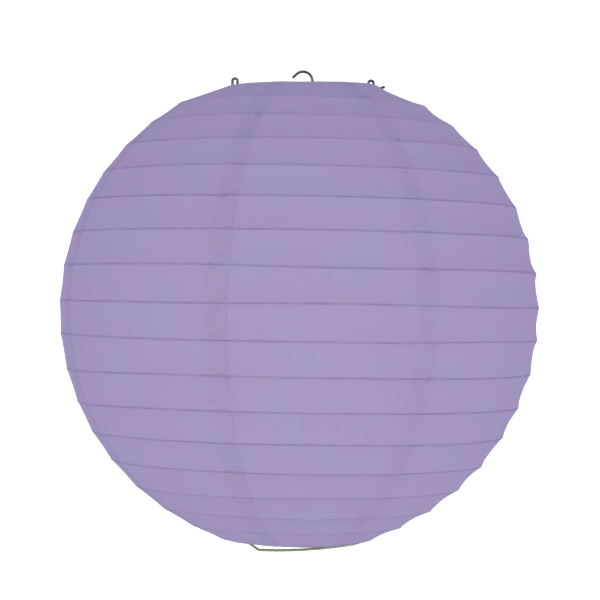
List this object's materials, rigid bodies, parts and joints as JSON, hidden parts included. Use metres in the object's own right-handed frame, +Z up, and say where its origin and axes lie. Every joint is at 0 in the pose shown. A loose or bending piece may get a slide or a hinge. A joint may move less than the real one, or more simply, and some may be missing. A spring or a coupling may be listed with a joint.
{
  "type": "paper lantern",
  "caption": "Round lilac paper lantern: paper strips on wire hoops, held open by a wire expander with a foot at each end ring, and hung on an open hook.",
  "frame": {"origin": "inside of the hanging hook's bend, where it bears on the cord, nail or wire that it hangs from", "axes": "+Z up along the pull of the hook; +X to the right, in the plane of the wire expander; the front, as usually seen, faces -Y"},
  "size_m": [0.3551, 0.3548, 0.3592],
  "materials": {
    "paper": "matte",
    "hoop_wire": "satin",
    "plated_wire": "satin",
    "brass_wire": "satin"
  },
  "bodies": {
    "hook": {"hanging_hook": "plated_wire"},
    "expander": {"crossbar": "plated_wire", "leg_frame": "brass_wire"},
    "shade_top": {"top_ring": "plated_wire", "paper_gore_1": "paper", "paper_gore_2": "paper", "paper_gore_3": "paper", "paper_gore_4": "paper", "paper_gore_5": "paper", "paper_gore_6": "paper", "paper_gore_7": "paper"},
    "shade_bottom": {"bottom_ring": "plated_wire"},
    "hoop_01": {"rib_01": "hoop_wire"},
    "hoop_02": {"rib_02": "hoop_wire"},
    "hoop_03": {"rib_03": "hoop_wire"},
    "hoop_04": {"rib_04": "hoop_wire"},
    "hoop_05": {"rib_05": "hoop_wire"},
    "hoop_06": {"rib_06": "hoop_wire"},
    "hoop_07": {"rib_07": "hoop_wire"},
    "hoop_08": {"rib_08": "hoop_wire"},
    "hoop_09": {"rib_09": "hoop_wire"},
    "hoop_10": {"rib_10": "hoop_wire"},
    "hoop_11": {"rib_11": "hoop_wire"},
    "hoop_12": {"rib_12": "hoop_wire"},
    "hoop_13": {"rib_13": "hoop_wire"},
    "hoop_14": {"rib_14": "hoop_wire"},
    "hoop_15": {"rib_15": "hoop_wire"},
    "hoop_16": {"rib_16": "hoop_wire"}
  },
  "joints": [
    {"name": "hook_swing", "type": "hinge", "parent": "hook", "child": "expander", "pos_m": [0, 0, -0.0171], "axis": [1, 0, 0], "range_deg": [-80, 80]},
    {"name": "shade_release", "type": "slide", "parent": "expander", "child": "shade_top", "axis": [0, 0, -1], "range_m": [0, 0.36]},
    {"name": "shade_fold", "type": "slide", "parent": "shade_top", "child": "shade_bottom", "axis": [0, 0, 1], "range_m": [0, 0.3], "deforming": ["paper_gore_1", "paper_gore_2", "paper_gore_3", "paper_gore_4", "paper_gore_5", "paper_gore_6", "paper_gore_7"]},
    {"name": "hoop_01_rise", "type": "slide", "parent": "shade_top", "child": "hoop_01", "axis": [0, 0, 1], "range_m": [0, 0.01225]},
    {"name": "hoop_02_rise", "type": "slide", "parent": "shade_top", "child": "hoop_02", "axis": [0, 0, 1], "range_m": [0, 0.0253]},
    {"name": "hoop_03_rise", "type": "slide", "parent": "shade_top", "child": "hoop_03", "axis": [0, 0, 1], "range_m": [0, 0.04086]},
    {"name": "hoop_04_rise", "type": "slide", "parent": "shade_top", "child": "hoop_04", "axis": [0, 0, 1], "range_m": [0, 0.05862]},
    {"name": "hoop_05_rise", "type": "slide", "parent": "shade_top", "child": "hoop_05", "axis": [0, 0, 1], "range_m": [0, 0.0782]},
    {"name": "hoop_06_rise", "type": "slide", "parent": "shade_top", "child": "hoop_06", "axis": [0, 0, 1], "range_m": [0, 0.09922]},
    {"name": "hoop_07_rise", "type": "slide", "parent": "shade_top", "child": "hoop_07", "axis": [0, 0, 1], "range_m": [0, 0.12125]},
    {"name": "hoop_08_rise", "type": "slide", "parent": "shade_top", "child": "hoop_08", "axis": [0, 0, 1], "range_m": [0, 0.14383]},
    {"name": "hoop_09_rise", "type": "slide", "parent": "shade_top", "child": "hoop_09", "axis": [0, 0, 1], "range_m": [0, 0.16651]},
    {"name": "hoop_10_rise", "type": "slide", "parent": "shade_top", "child": "hoop_10", "axis": [0, 0, 1], "range_m": [0, 0.18883]},
    {"name": "hoop_11_rise", "type": "slide", "parent": "shade_top", "child": "hoop_11", "axis": [0, 0, 1], "range_m": [0, 0.21032]},
    {"name": "hoop_12_rise", "type": "slide", "parent": "shade_top", "child": "hoop_12", "axis": [0, 0, 1], "range_m": [0, 0.23056]},
    {"name": "hoop_13_rise", "type": "slide", "parent": "shade_top", "child": "hoop_13", "axis": [0, 0, 1], "range_m": [0, 0.24912]},
    {"name": "hoop_14_rise", "type": "slide", "parent": "shade_top", "child": "hoop_14", "axis": [0, 0, 1], "range_m": [0, 0.26564]},
    {"name": "hoop_15_rise", "type": "slide", "parent": "shade_top", "child": "hoop_15", "axis": [0, 0, 1], "range_m": [0, 0.27977]},
    {"name": "hoop_16_rise", "type": "slide", "parent": "shade_top", "child": "hoop_16", "axis": [0, 0, 1], "range_m": [0, 0.29123]}
  ],
  "couplings": [
    {"joint": "hoop_01_rise", "follows": "shade_fold", "ratio": 0.03916},
    {"joint": "hoop_02_rise", "follows": "shade_fold", "ratio": 0.08266},
    {"joint": "hoop_03_rise", "follows": "shade_fold", "ratio": 0.13453},
    {"joint": "hoop_04_rise", "follows": "shade_fold", "ratio": 0.19372},
    {"joint": "hoop_05_rise", "follows": "shade_fold", "ratio": 0.25901},
    {"joint": "hoop_06_rise", "follows": "shade_fold", "ratio": 0.32908},
    {"joint": "hoop_07_rise", "follows": "shade_fold", "ratio": 0.40251},
    {"joint": "hoop_08_rise", "follows": "shade_fold", "ratio": 0.47778},
    {"joint": "hoop_09_rise", "follows": "shade_fold", "ratio": 0.55338},
    {"joint": "hoop_10_rise", "follows": "shade_fold", "ratio": 0.62776},
    {"joint": "hoop_11_rise", "follows": "shade_fold", "ratio": 0.69941},
    {"joint": "hoop_12_rise", "follows": "shade_fold", "ratio": 0.76686},
    {"joint": "hoop_13_rise", "follows": "shade_fold", "ratio": 0.82874},
    {"joint": "hoop_14_rise", "follows": "shade_fold", "ratio": 0.8838},
    {"joint": "hoop_15_rise", "follows": "shade_fold", "ratio": 0.9309},
    {"joint": "hoop_16_rise", "follows": "shade_fold", "ratio": 0.9691}
  ]
}
